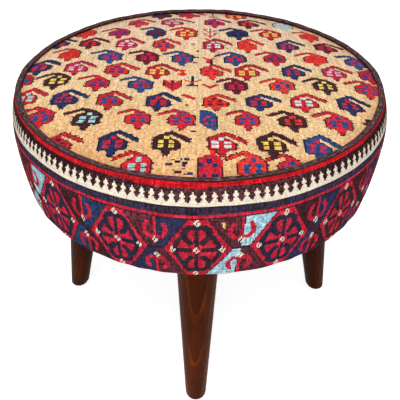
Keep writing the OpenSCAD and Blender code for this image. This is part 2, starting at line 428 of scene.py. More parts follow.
placed = driven.add("GeometryNodeInstanceOnPoints", {}, in_holes)
wood_screws = driven.make(driven.move(placed, 0, 0, driven["Height"]), screw_zinc)
dress(wood_screws, screw_zinc, "zinc_screws", "plate_screws")
wood_screws.data.shade_flat()

# Padding
# A ring of foam round the hoop and a foam slab on the top board, then polyester wadding over the slab. The
# covers are pulled tight over them, so the seat crowns and the side is full.
welt_low, welt_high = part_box("welt")
side_low, side_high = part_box("side_cover")
pile_low, pile_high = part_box("seat_cover")
foam_low, foam_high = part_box("seat_foam")
hoop_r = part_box("hoop")[1].x
seam_r = welt_high.x
seam_z = welt_low.z
widest_r = side_high.x
hem_z = side_low.z
rim_r = pile_high.x
pile_t = seam_z - pile_low.z
crown_h = pile_high.z - seam_z
belly_z = hem_z + 0.087
shoulder_r, flank_r, edge_r = 0.134, 0.640, 0.013
hem_w = 0.030
kilim_t = 0.003
layer_gap = 0.0003
wadding_t = 0.008

# The side's line runs over three arcs, from the seam down to the underside
shoulder_turn = math.asin((seam_z - belly_z) / shoulder_r)
edge_z = hem_z + edge_r
edge_turn = math.asin((belly_z - edge_z) / (flank_r - edge_r))
shoulder_c = widest_r - shoulder_r
flank_c = widest_r - flank_r
edge_c = flank_c + (flank_r - edge_r) * math.cos(edge_turn)
runs = (shoulder_r * shoulder_turn, flank_r * edge_turn, edge_r * (math.pi / 2 - edge_turn), hem_w)
marks = np.cumsum((0,) + runs)


def side_line(s):
    """Radius, height and outward turn of the side cover's face, s metres down from the seam."""
    turn = np.interp(s, marks, (shoulder_turn, 0, -edge_turn, -math.pi / 2, -math.pi / 2))
    arcs = [s <= marks[1], s <= marks[2], s <= marks[3]]
    centres = np.select(arcs, [shoulder_c, flank_c, edge_c], edge_c + marks[3] - s)
    heights = np.select(arcs, [belly_z, belly_z, edge_z], hem_z)
    radii = np.select(arcs, [shoulder_r, flank_r, edge_r], 0.0)
    return centres + radii * np.cos(turn), heights + radii * np.sin(turn), turn


def side_inset(s, inset):
    """Radius and height of the same line, set in from the face."""
    r, z, turn = side_line(s)
    return r - inset * np.cos(turn), z - inset * np.sin(turn)


def lathe_faces(rows, columns):
    """Quads over rows of points that run round, each row's columns closed on itself."""
    here = np.arange(rows - 1)[:, None] * columns + np.arange(columns)
    after = np.arange(rows - 1)[:, None] * columns + (np.arange(columns) + 1) % columns
    return np.stack([here, here + columns, after + columns, after], -1).reshape(-1, 4)


def ring_points(radii, heights, columns):
    """Points that run round the axis, one ring after another."""
    angles = np.linspace(0, 2 * math.pi, columns, endpoint=False)
    level = np.stack([np.outer(radii, np.cos(angles)), np.outer(radii, np.sin(angles))], -1)
    return np.concatenate([level, np.repeat(heights[:, None], columns, 1)[..., None]], -1).reshape(-1, 3)


def ring_of(name, radii, heights, columns):
    """A closed ring, its section given by points in order, outer face first."""
    points = ring_points(radii, heights, columns)
    return make_mesh(name, points, lathe_faces(len(radii) + 1, columns) % len(points))


def turned(name, radii, heights, columns):
    """A closed body of revolution. Its line starts and ends on the axis."""
    rings = ring_points(radii[1:-1], heights[1:-1], columns)
    count = len(rings)
    points = np.vstack([rings, (0, 0, heights[0]), (0, 0, heights[-1])])
    faces = [list(f) for f in lathe_faces(len(radii) - 2, columns)]
    for i in range(columns):
        j = (i + 1) % columns
        faces.append([count, i, j])
        faces.append([count + 1, count - columns + j, count - columns + i])
    return make_mesh(name, points, faces)


def pressed_pad():
    """The drum's padding as one cushion, blown up by a cloth simulation between its seam and its hem."""
    slack = 0.003
    grip = 0.004
    stitch_r = 0.247
    frames = 20
    inset = kilim_t + layer_gap + slack
    r, z = side_inset(np.linspace(grip, marks[3], 40), inset)
    top_z = seam_z - pile_t - slack
    pad = turned("pad", np.r_[0, 0.1, 0.2, r, 0.2, 0.1, 0], np.r_[[top_z] * 3, z, [z[-1]] * 3], 120)
    remesh = pad.modifiers.new("remesh", "REMESH")
    remesh.mode = "VOXEL"
    remesh.voxel_size = 0.006
    mesh = bpy.data.meshes.new_from_object(pad.evaluated_get(bpy.context.evaluated_depsgraph_get()))
    pad.modifiers.clear()
    pad.data = mesh
    start = np.array([v.co for v in mesh.vertices])
    radius = np.hypot(start[:, 0], start[:, 1])
    nailed = start[:, 2] < hem_z + inset + grip
    stitched = (abs(radius - stitch_r) < 0.005) & (start[:, 2] > top_z - grip)
    pins = pad.vertex_groups.new(name="held")
    pins.add(np.flatnonzero(nailed | stitched).tolist(), 1.0, "REPLACE")
    cloth = pad.modifiers.new("cloth", "CLOTH")
    cloth.settings.vertex_group_mass = "held"
    cloth.settings.use_pressure = True
    cloth.settings.uniform_pressure_force = 4.0
    cloth.settings.effector_weights.gravity = 0.0
    cloth.point_cache.frame_end = frames
    for step in range(1, frames + 1):
        scene.frame_set(step)
    blown = pad.evaluated_get(bpy.context.evaluated_depsgraph_get())
    end = np.array([v.co for v in blown.data.vertices])
    scene.frame_set(1)
    pad.modifiers.clear()
    return pad, start, end - start


crown_rim = seam_r - 0.012
pad, start, moved = pressed_pad()
lift = crown_h / moved[:, 2].max()
pad.data.vertices.foreach_set("co", (start + moved * (1, 1, lift)).ravel())
pad.modifiers.new("smooth", "SUBSURF")
blown_pad = BVHTree.FromObject(pad, bpy.context.evaluated_depsgraph_get())
pad_top = float(start[:, 2].max())
bpy.data.objects.remove(pad)


def crown(x, y):
    """How far the padding stands above its rim at each x and y."""
    if blown_pad is None:
        return crown_h * np.clip(1 - (np.hypot(x, y) / crown_rim) ** 2.5, 0, 1)
    hits = (blown_pad.ray_cast(Vector((a, b, 1.0)), Vector((0, 0, -1)))[0] for a, b in zip(x, y))
    return np.array([max(hit.z - pad_top, 0.0) if hit else 0.0 for hit in hits])


def foam(name, light, dark):
    look = Finish(name, {"Roughness": 0.95, "Specular IOR Level": 0.15})
    fine = {"Vector": look.place(), "Scale": 900.0}
    cells = look.add("ShaderNodeTexVoronoi", {"feature": "DISTANCE_TO_EDGE"}, fine)
    patches = look.noise(look.place(), 30.0, 3.0)
    look.wear({"Base Color": look.mix(patches, light, dark)})
    look.bump(cells * 2 + look.noise(look.place(), 300.0, 3.0) * 0.5, 0.0008)
    return look


pad_r, pad_z = side_inset(np.linspace(0, marks[3], 400), kilim_t + layer_gap)
seat_z = foam_low.z
foam_rim_z = foam_high.z - crown_h
below = pad_z <= seat_z
above = (pad_z >= seat_z) & (pad_z <= foam_rim_z)

steps = np.r_[np.arange(0, below.sum(), 8), below.sum() - 1]
ring_r = np.r_[hoop_r + layer_gap, pad_r[below][steps], hoop_r + layer_gap]
ring_z = np.r_[seat_z, pad_z[below][steps], pad_z[-1]]
side_padding = ring_of("side_padding", ring_r, ring_z, 180)
dress(side_padding, foam("side foam", dye(240, 226, 180), dye(228, 208, 156)), "foam", "side_foam")

seat_columns = 128
inwards = np.linspace(crown_rim, 0, 22)
rise = slice(None, None, -10)
slab_r = np.r_[0, 0.12, pad_r[above][rise], inwards]
slab_z = np.r_[seat_z, seat_z, pad_z[above][rise], np.full(len(inwards), foam_rim_z)]
seat_padding = turned("seat_padding", slab_r, slab_z, seat_columns)


def raise_crown(obj, floor_z):
    """Lifts the points above a height by the crown."""
    points = np.array([v.co for v in obj.data.vertices])
    lifted = (points[:, 2] > floor_z) & (np.hypot(points[:, 0], points[:, 1]) < crown_rim)
    points[lifted, 2] += crown(points[lifted, 0], points[lifted, 1])
    obj.data.vertices.foreach_set("co", points.ravel())
    obj.data.update()


raise_crown(seat_padding, foam_rim_z - 0.001)
dress(seat_padding, foam("seat foam", dye(246, 236, 196), dye(238, 222, 174)), "foam", "seat_foam")

flat = np.full(len(inwards), foam_rim_z)
wad_r = np.r_[np.linspace(0, crown_rim, len(inwards)), rim_r - 0.001, rim_r - 0.0015, inwards]
wad_z = np.r_[flat, foam_rim_z + 0.001, foam_rim_z + wadding_t, flat + wadding_t]
seat_wadding = turned("seat_wadding", wad_r, wad_z, seat_columns)
raise_crown(seat_wadding, 0.0)
fluff = {"Roughness": 1.0, "Specular IOR Level": 0.1, "Sheen Weight": 0.4}
whites = (dye(238, 238, 234), dye(252, 252, 250))
polyester = mottled("polyester wadding", fluff, (160.0, 6.0, 0.7), whites, 0.002)
dress(seat_wadding, polyester, "wadding", "wadding")

# Seat rug
# One round panel cut from an old knotted rug: a camel ground with rows of hooked leaves, which nearly all
# turn the other way from row to row. It is pulled over the wadding, and its edge is stapled under the welt.
knot = 0.00205
knot_mm = knot * 1000
middle_knot = 200
rug_r = rim_r - 0.0006
turn_down = 0.011
draws = np.random.default_rng(7)
frays = np.random.default_rng(11)

# Each yarn has two dye lots, which were mixed as the rug was knotted
wool = {
    "camel": ((241, 209, 162), (231, 194, 142)),
    "red": ((216, 40, 54), (162, 30, 50)),
    "crimson": ((206, 38, 74), (150, 30, 62)),
    "orange": ((233, 62, 46), (204, 38, 42)),
    "navy": ((32, 42, 84), (44, 60, 114)),
    "blue": ((38, 66, 124), (54, 86, 146)),
    "brown": ((72, 36, 44), (44, 24, 30)),
    "maroon": ((108, 24, 46), (70, 24, 50)),
    "ink": ((24, 22, 46), (34, 26, 40)),
    "sky": ((166, 214, 214), (136, 190, 196)),
    "white": ((218, 234, 232), (186, 212, 218)),
    "yellow": ((238, 216, 110), (222, 184, 84)),
    "purple": ((82, 44, 112), (58, 52, 124)),
    "pink": ((214, 196, 214), (206, 120, 160)),
}

# Each row of leaves, in mm: its place up the seat, the side its hooks point to, then place, leaf and seeds
LEFT, RIGHT = -1, 1
leaf_rows = (
    (-224, LEFT, (
        (-68, "red", "sky"), (58, "orange", "blue"), (102, "red", "blue"),
    )),
    (-184, RIGHT, (
        (-163, "red", "maroon"), (-100, "navy", "red"), (-37, "brown", "yellow"), (27, "red", "white"),
        (83, "brown", "yellow"), (138, "blue", "red"),
    )),
    (-133, LEFT, (
        (-198, "red", "blue"), (-138, "brown", "sky"), (-75, "red", "blue"), (-22, "red", "blue"),
        (58, "red", "blue"), (115, "brown", "orange"), (170, "red", "blue"),
    )),
    (-88, RIGHT, (
        (-228, "red", "sky"), (-175, "navy", "red"), (-117, "red", "blue"), (-52, "navy", "red"),
        (20, "orange", "maroon"), (77, "navy", "red"), (135, "red", "white"), (195, "navy", "red"),
    )),
    (-41, LEFT, (
        (-248, "red", "blue"), (-198, "brown", "yellow"), (-140, "red", "purple"), (-80, "blue", "red"),
        (50, "maroon", "crimson"), (112, "orange", "blue"), (170, "brown", "yellow"),
        (230, "red", "blue"),
    )),
    (1, RIGHT, (
        (-232, "navy", "crimson"), (-178, "crimson", "pink"), (-118, "orange", "purple"),
        (-60, "red", "yellow"), (17, "orange", "crimson"), (67, "red", "yellow"), (133, "navy", "red"),
        (192, "crimson", "pink"), (243, "red", "purple"),
    )),
    (45, LEFT, (
        (-197, "orange", "red"), (-133, "blue", "crimson"), (-80, "maroon", "crimson"),
        (-27, "blue", "red"), (52, "blue", "red"), (110, "red", "purple"), (172, "orange", "red"),
        (233, "blue", "red"),
    )),
    (92, RIGHT, (
        (-225, "navy", "red"), (-173, "maroon", "red"), (-115, "crimson", "white"),
        (-57, "orange", "purple"), (20, "crimson", "white"), (73, "orange", "red"), (137, "navy", "red"),
        (195, "maroon", "red"),
    )),
    (138, LEFT, (
        (-187, "orange", "red"), (-133, "crimson", "purple"), (-73, "navy", "maroon"),
        (-22, "red", "yellow"), (60, "navy", "ink"), (113, "red", "yellow"), (177, "orange", "red"),
    )),
    (187, RIGHT, (
        (-105, "orange", "purple"), (-48, "crimson", "sky"), (23, "crimson", "purple"),
        (82, "maroon", "orange"), (140, "sky", "pink"),
    )),
    (232, RIGHT, (
        (-68, "maroon", "navy"), (-20, "red", "crimson"), (62, "red", "yellow"),
    )),
)

# A leaf's outline in mm about its middle, from its left side round to the hook's tip and back, its hook to
# the right. The rows with hooks to the right have the peak near the middle, the others over the far side.
leaf_stem = ((14, -13.6), (6.2, -13.6), (2.4, -24.5), (-3.4, -24.5), (-7, -13.6), (-14, -13.6))
leaf_outlines = {
    RIGHT: (
        (-17.4, -10), (-17.4, 12), (-8, 18), (4, 26), (12, 21), (29.5, 8), (28.5, -1), (3.5, 17.5),
        (3, 12.5), (11, 7), (17.4, 0), (17.4, -10),
    ) + leaf_stem,
    LEFT: (
        (-17.4, -9), (-17.4, 9), (-9, 17), (3, 24), (9.5, 26), (29.5, 15.5), (29, 8.5), (8, 19),
        (5.6, 14), (12, 11), (17.4, 5.5), (17.4, -9),
    ) + leaf_stem,
}
leaf_half, leaf_rim, outline_w = 17.5, 15.3, 2.1
twig_w = 3.0

# Small figures between the leaves: yarn, then the outline in mm
fillers = (
    ("blue", (
        (-1, -109), (8, -108), (15, -113), (19, -118), (21.5, -125), (21.5, -158), (16, -157),
        (7, -149), (-1, -140),
    )),
    ("ink", ((19.4, -122), (21.5, -122), (21.5, -150), (19.4, -150))),
    ("red", ((-26, -69), (-20, -65), (-4, -77), (-8, -83))),
    ("red", ((-2, -247), (-2, -213), (6, -206), (18, -203), (25, -210), (27, -218), (27, -247))),
    ("brown", ((-2, -247), (-2, -212), (1, -211), (0, -247))),
    ("brown", ((25, -247), (25, -230), (27.5, -214), (27.5, -247))),
    ("brown", ((13, -203), (14, -195), (21, -195), (21, -203))),
    ("red", (
        (-50.5, -24), (-44, -28), (-38, -25), (-32, -28), (-25, -24), (-25, -44), (-31, -52),
        (-34, -54), (-37, -62), (-40, -53), (-46, -48), (-50.5, -42),
    )),
    ("brown", ((-50.5, -24), (-48.4, -25), (-48.4, -44), (-50.5, -42))),
    ("brown", ((-27.4, -25), (-25, -24), (-25, -44), (-27.4, -46))),
    ("brown", ((-39, -27), (-36.6, -27), (-36.6, -50), (-39, -50))),
    ("orange", (
        (-30, 9), (-22, 9), (-19, 4), (-23, 0), (-19, -5), (-20, -12), (-29, -12), (-33, -8), (-27, -2),
        (-31, 3),
    )),
    ("red", ((2, -38), (5, -35), (13, -42), (22, -35), (26, -38), (14, -50))),
    ("red", (
        (3, 47), (6, 51), (13, 44), (21, 49), (24, 46), (18, 40), (18, 34), (15, 28), (11, 28), (9, 34),
        (10, 40),
    )),
    ("maroon", ((-9, 48), (-1.5, 47), (-1.5, 52), (-9, 52))),
    ("maroon", ((-9, 29), (-3, 28), (-3, 33), (-9, 34))),
    ("orange", ((12, -196), (18, -196), (18, -204), (12, -204))),
)

# Thin stems and arms between the leaves, 3 mm wide: yarn, then the line's points in mm
twigs = (
    ("ink", ((-10.7, -13), (-10.7, -42))),
    ("ink", ((-18, -41), (-4, -41))),
    ("orange", ((-22, -24), (-11, -32), (1, -24))),
    ("ink", ((16, 16), (16, 40))),
    ("maroon", ((15, 122), (15, 158))),
    ("red", ((7, 118), (15, 110), (23, 118))),
    ("red", ((6, 133), (15, 126), (24, 133))),
    ("maroon", ((5, 140), (9, 137))),
    ("maroon", ((27, 140), (22, 137))),
    ("red", ((6, 150), (15, 143), (25, 150))),
    ("maroon", ((5, 157), (10, 154))),
    ("ink", ((21, 221), (21, 246))),
    ("ink", ((14, 221), (28, 221))),
)

# Single dots: yarn, place and half size in mm
dots = (
    ("navy", -14, -213, 3.0, 2.0), ("ink", -24, -217, 2.6, 2.6), ("navy", -33, -222, 3.4, 2.4),
    ("navy", -16, -223, 2.6, 2.2), ("brown", -22, -234, 4.0, 2.4), ("navy", -10, -235, 3.2, 2.2),
    ("red", -7.5, -214, 1.4, 1.6), ("ink", -17, -219, 2.0, 1.6), ("sky", -18, -17, 3.0, 3.0),
    ("sky", -3.5, -17, 3.0, 3.0), ("navy", -10.7, -39, 3.2, 3.2), ("pink", -42, -31, 1.6, 2.0),
    ("pink", -33.5, -31, 1.6, 2.0), ("navy", -7, -144, 3.0, 3.4), ("maroon", -8, -160, 3.2, 1.8),
    ("navy", -7, -127, 1.8, 1.4), ("brown", -16, -96, 1.8, 2.0), ("ink", -7, -110, 1.8, 1.4),
    ("navy", 3, -223, 2.6, 3.0), ("navy", 12, -215, 3.0, 3.6), ("navy", 18, -222, 3.0, 3.0),
    ("navy", 6, -238, 2.8, 3.0), ("navy", 17, -238, 3.6, 3.0), ("ink", -29, -214, 2.2, 1.2),
    ("brown", -19, -213, 1.4, 1.4), ("ink", -13, -219, 1.2, 2.2), ("brown", -28, -231, 1.6, 1.6),
    ("red", -17, -229, 2.4, 1.2), ("brown", -14, -237, 1.6, 1.2), ("brown", -12, 188, 2.0, 3.0),
    ("brown", -11, 96, 3.0, 1.6), ("maroon", -5, 70, 2.0, 2.8), ("maroon", 42, 82, 1.6, 2.0),
    ("red", 11.7, -125, 3.0, 2.0), ("red", 7, -132.5, 2.0, 2.4), ("red", 16.6, -133, 2.0, 2.4),
    ("red", 8, -143, 1.8, 3.0), ("red", 15.6, -145, 1.8, 3.0), ("brown", 207, -126, 6.6, 1.6),
    ("brown", 211, -121, 3.6, 3.4), ("brown", 206, -130, 2.4, 2.2), ("sky", -136, -189, 2.0, 1.4),
)


def clipped_grid(lines, radius, holes=()):
    """Points, quads and border of a grid cut to a circle, less its holes. Its outermost points lie on it."""
    tall = len(lines)
    left, low = np.meshgrid(np.arange(tall - 1), np.arange(tall - 1), indexing="ij")
    middle_x = (lines[left] + lines[left + 1]) / 2
    middle_y = (lines[low] + lines[low + 1]) / 2
    keep = np.hypot(middle_x, middle_y) < radius
    for x0, y0, x1, y1 in holes:
        keep &= ~((middle_x > x0) & (middle_x < x1) & (middle_y > y0) & (middle_y < y1))
    corner = left[keep] * tall + low[keep]
    quads = np.stack([corner, corner + tall, corner + tall + 1, corner + 1], -1)
    used, quads = np.unique(quads, return_inverse=True)
    quads = quads.reshape(-1, 4)
    points = np.stack([lines[used // tall], lines[used % tall]], -1)
    edges = np.concatenate([quads[:, [i, (i + 1) % 4]] for i in range(4)])
    codes = edges[:, 0] * len(points) + edges[:, 1]
    border = edges[~np.isin(codes, edges[:, 1] * len(points) + edges[:, 0])]
    rim = np.unique(border)
    far = np.hypot(*points[rim].T)
    outer = far > radius * 0.97
    points[rim[outer]] *= (radius / far[outer])[:, None]
    return points, quads, border


def slab(name, points, quads, border, top, bottom):
    """A closed sheet with thickness: the grid at two heights, joined along its borders."""
    count = len(points)
    both = np.vstack([np.c_[points, top], np.c_[points, bottom]])
    a, b = border.T
    walls = np.stack([b, a, a + count, b + count], -1)
    return make_mesh(name, both, np.vstack([quads, quads[:, ::-1] + count, walls]))


def paint(mesh, colours):
    """One colour to each four-cornered face, kept as a colour attribute."""
    layer = mesh.color_attributes.new("dye", "BYTE_COLOR", "CORNER")
    layer.data.foreach_set("color", np.repeat(np.c_[colours, np.ones(len(colours))], 4, 0).ravel())


def linear(rgb):
    """Linear colours from an array of 8-bit ones."""
    tones = np.clip(np.asarray(rgb, float) / 255, 0, 1)
    return np.where(tones <= 0.04045, tones / 12.92, ((tones + 0.055) / 1.055) ** 2.4)


def ramp(values, start, length):
    """0 up to the start, then up to 1 over the length."""
    return np.clip((values - start) / length, 0, 1)


def within(x, y, outline):
    """Where points lie inside a closed outline."""
    inside = np.zeros(x.shape, bool)
    for (ax, ay), (bx, by) in zip(outline, outline[1:] + outline[:1]):
        if ay != by:
            inside ^= ((ay > y) != (by > y)) & (x < ax + (y - ay) * (bx - ax) / (by - ay))
    return inside


def near_line(x, y, points, width):
    """Where points lie on a line of that width."""
    near = np.zeros(x.shape, bool)
    for (ax, ay), (bx, by) in zip(points, points[1:]):
        length = (bx - ax) ** 2 + (by - ay) ** 2
        t = np.clip(((x - ax) * (bx - ax) + (y - ay) * (by - ay)) / length, 0, 1)
        near |= np.hypot(x - ax - t * (bx - ax), y - ay - t * (by - ay)) < width / 2
    return near


def seeds(x, y, merged):
    """Five seeds in a leaf: one above, then two pairs. Where merged, a pair is one tall seed."""
    where = (abs(x + 1) < 3.4) & (abs(y - 10.4) < 3.2)
    for seed_x, half_w in ((-7.4, 3.9), (6.0, 3.9)):
        for seed_y in (2.2, -6.0):
            where |= (abs(x - seed_x) < half_w) & (abs(y - seed_y) < 2.9)
        if merged:
            where |= (abs(x - seed_x) < half_w - 1) & (abs(y + 2) < 6)
    return where


def knot_colours(x, y):
    """The colour of each knot of the seat, x and y in mm."""
    colours = np.empty((len(x), 3))
    column = np.floor(x / knot_mm).astype(int) + middle_knot
    row = np.floor(y / knot_mm).astype(int) + middle_knot

    def put(where, yarn, second_lot=0.3, shade=1.0, uneven=0.07):
        first, second = np.array(wool[yarn], float)
        lot = np.where(draws.random(where.sum()) < second_lot, 1.0, 0.0)[:, None]
        mixed = (first * (1 - lot) + second * lot) * shade
        light = draws.normal(0, uneven, where.sum())[:, None]
        colours[where] = mixed * (1 + light * (1, 1.1, 1.4))

    # The ground is cooler to the back and warmer to the front left, in faint streaks, and painted shade
    # darkens it at the rim, in the crease along the welt
    put(np.ones(len(x), bool), "camel", second_lot=0.28, uneven=0.052)
    cool = ramp(y, -60, 300)[:, None]
    warm = ramp(-y, 60, 190)[:, None] * np.clip(0.7 - x / 350, 0, 1)[:, None]
    colours += cool * (0, 2, 26) - warm * (10, 29, 35)
    # Painted shade: the ground darkens from 230 mm out to the rim, under the welt's edge
    colours *= 1 - ramp(np.hypot(x, y), 230, 20)[:, None] * (0.06, 0.14, 0.22)
    streaks = 1 + draws.normal(0, 0.035, (2 * middle_knot, 60)) + draws.normal(0, 0.02, (2 * middle_knot, 1))
    colours *= streaks[column, row // 7][:, None]
    specks = draws.random(len(x)) < 0.012
    colours[specks] = (214, 140, 96)
    wander = 0.8 * np.sin(x / 23 + y / 41) + 0.7 * np.sin(y / 17 - x / 31)

    for yarn, outline in fillers:
        put(within(x + wander * 0.5, y, outline), yarn)
    for yarn, line in twigs:
        put(near_line(x, y, line, twig_w), yarn)
    for yarn, dot_x, dot_y, half_w, half_h in dots:
        put((abs(x - dot_x) < half_w) & (abs(y - dot_y) < half_h), yarn)

    for row_y, hook_side, leaves in leaf_rows:
        for leaf_x, yarn, seed_yarn in leaves:
            leaf_y = row_y + max(0, -150 - leaf_x) * 0.17
            wide = 1 / draws.uniform(0.93, 1.03)
            tall = 1 / draws.uniform(0.95, 1.04)
            local_x = (x - leaf_x + wander) * hook_side * wide
            local_y = (y - leaf_y + wander * 0.6 + local_x * draws.normal(0, 0.02)) * tall
            outline = leaf_outlines[hook_side]
            body = within(local_x, local_y, outline)
            sides = body & (abs(local_x) > leaf_rim) & (abs(local_x) < leaf_half) & (local_y < 11)
            upper = body & ~within(local_x, local_y + outline_w, outline)
            lower = body & ~within(local_x, local_y - outline_w, outline)
            stray = ~body & within(local_x * 0.93, local_y * 0.96, outline)
            dark = "ink" if yarn in ("navy", "blue") else "brown"
            put(body, yarn, 0.36, draws.uniform(0.93, 1.05))
            put(upper & (draws.random(len(x)) < 0.78), dark)
            put(lower & (frays.random(len(x)) < 0.6), dark)
            put(stray & (draws.random(len(x)) < 0.36), dark, shade=1.4)
            if yarn != "brown":
                put(sides, dark)
            put(body & (local_y < -20) & (draws.random(len(x)) < 0.4), "brown" if yarn != "blue" else "navy")
            merged = draws.random() < 0.2 and seed_yarn not in ("white", "sky", "yellow")
            put(body & seeds(local_x, local_y, merged), seed_yarn, 0.35)
    return colours


lines = np.arange(-math.ceil(rug_r / knot), math.ceil(rug_r / knot) + 1) * knot
rug_points, rug_quads, rug_border = clipped_grid(lines, rug_r)
to_rim = ramp(np.hypot(*rug_points.T), rug_r - turn_down, turn_down)
rug_top = seam_z + crown(rug_points[:, 0], rug_points[:, 1]) - 0.0016 * to_rim ** 1.5
seat_rug = slab("seat_rug", rug_points, rug_quads, rug_border, rug_top, rug_top - pile_t)
knots = rug_points[rug_quads].mean(1) * 1000
face_colours = knot_colours(knots[:, 0], knots[:, 1])
backing = np.full((len(knots), 3), (190, 168, 140)) * (0.6 + 0.4 * face_colours / 255)
edge = np.full((len(rug_border), 3), (206, 186, 154))
paint(seat_rug.data, linear(np.vstack([face_colours, backing, edge])))


def pile_look():
    look = Finish("rug pile", {"Roughness": 0.95, "Specular IOR Level": 0.08, "Sheen Weight": 0.03})
    yarn = look.add("ShaderNodeVertexColor", {"layer_name": "dye"}, {})
    tufts = look.noise(look.place(scale=(1, 0.6, 0.6)), 2200.0, 2.0, 0.6)
    counted = look.split(look.place(scale=(1 / knot,) * 3))[:2]
    # Painted shade in the grooves between the knots; the same grooves also sink in as bumps
    gaps = [abs(part.maths("FRACT", part + middle_knot) - 0.5) ** 3 for part in counted]
    grooves_and_painted_shade = gaps[0] + gaps[1]
    shade = look.mix(tufts - grooves_and_painted_shade * 1.6, (0.52, 0.46, 0.38, 1), (1.5, 1.5, 1.52, 1))
    look.wear({"Base Color": look.mix(1.0, yarn, shade, "MULTIPLY")})
    look.bump(tufts * 0.6 - grooves_and_painted_shade * 2.0, 0.0006)
    return look


dress(seat_rug, pile_look(), "pile_rug", "seat_cover")

# Side cover
# A long strip of flat-woven rug sewn round the drum, pulled down over the lower edge and stapled under the
# base in small pleats. A toothed ivory border runs under the seam, over a band of hooked hexagons.
repeats = 17
columns = repeats * 64
pattern_r = 0.265
round_mm = 2 * math.pi * pattern_r * 1000
fine_rows = np.r_[np.arange(0, 0.024, 0.00115), np.arange(0.0245, marks[3], 0.0018)]
hem_rows = np.linspace(marks[3], marks[4], 9)
outer_s = np.r_[fine_rows, hem_rows]
halfway = (marks[2] + marks[3]) / 2
inner_s = np.r_[marks[4], marks[4] - 0.015, marks[3], halfway, np.linspace(marks[2], 0.0, 6)]
theta = (np.arange(columns) + 0.5) / columns * 2 * math.pi - math.pi / 2 + math.radians(-0.3)

# Each yarn's two dye lots, and the share of the second
kilim = {
    "scarlet": ((192, 27, 34), (170, 22, 32), 0.3),
    "red": ((202, 42, 60), (168, 36, 58), 0.3),
    "aubergine": ((102, 50, 58), (66, 36, 44), 0.42),
    "sable": ((74, 38, 44), (50, 30, 36), 0.4),
    "umber": ((52, 28, 30), (38, 23, 26), 0.35),
    "bark": ((90, 54, 58), (62, 36, 42), 0.4),
    "ivory": ((238, 226, 206), (226, 210, 186), 0.3),
    "charcoal": ((46, 36, 42), (52, 54, 78), 0.25),
    "plum": ((56, 52, 76), (66, 44, 54), 0.45),
    "black": ((48, 36, 42), (56, 46, 58), 0.4),
    "navy": ((38, 56, 94), (56, 42, 60), 0.45),
    "indigo": ((38, 42, 66), (50, 42, 54), 0.4),
    "blue": ((40, 68, 112), (50, 42, 62), 0.45),
    "sky": ((172, 208, 220), (142, 182, 198), 0.35),
    "yellow": ((230, 184, 104), (208, 156, 88), 0.3),
}
# The warm and the cool cell to the right of each hexagon, from the front one round to the right
warm_cells = ("aubergine sable sable aubergine aubergine aubergine sable aubergine aubergine sable "
              "aubergine sable aubergine aubergine sable sable aubergine").split()
cool_cells = ("sky navy blue navy sky blue navy navy blue sky navy blue navy blue sky blue navy").split()
# The yarn of each hexagon's bars and hooks, in the same order
hexagon_bars = ("black indigo black black indigo black indigo indigo black black indigo black indigo "
                "black black indigo indigo").split()
# How far round the strip is pulled at some places, in mm: place, then pull
pulled_at = (-500, -196, -98, 0, 98, 196, 500)
pulled_by = (0, 10, 3.5, -1.6, 2.5, -7, 0)

# The side's bands, in mm down from the seam: the scarlet, the teeth, the plum and blue strips, the border's
# end, and the main band with its red edge lines and the middle of its hexagons
scarlet_low, teeth_low, strips_top, strips_low, border_low = 3.7, 24.5, 26.0, 33.5, 39.0
band_top, line_low, band_mid, band_low = 34.0, 37.5, 86.0, 138.0
hexagon_end, hexagon_spread, hexagon_half = 10.0, 28.8, 48.0
teeth_count = 147
tooth_heights = (6.8, 8.6, 9.8, 11.4, 12.8, 13.8, 15.0, 17.0, 19.6, 20.4)
tooth_widths = (0.8, 1.0, 2.4, 3.6, 2.3, 1.2, 2.2, 3.4, 4.9, 9.0)
arch = ((0, 50), (8, 50), (13, 54), (14.2, 61), (12, 68), (7.2, 74))
anchor_arm = ((0, 67), (7.5, 68.6), (12.6, 62.5), (13, 55.5), (9.6, 48.5))


def span(values, low, high):
    return (values >= low) & (values < high)


def hump(values, middle, spread):
    """1 at the middle, and less to both sides."""
    return np.exp(-((values - middle) / spread) ** 2)


def diamond(u, v, at_u, at_v):
    """A small ivory diamond and the slanted dark stroke in it."""
    across = u - at_u
    down = v - at_v
    return abs(across) / 4.0 + abs(down) / 5.4 < 1, (abs(across + down * 0.5) < 0.8) & (abs(down) < 3.2)


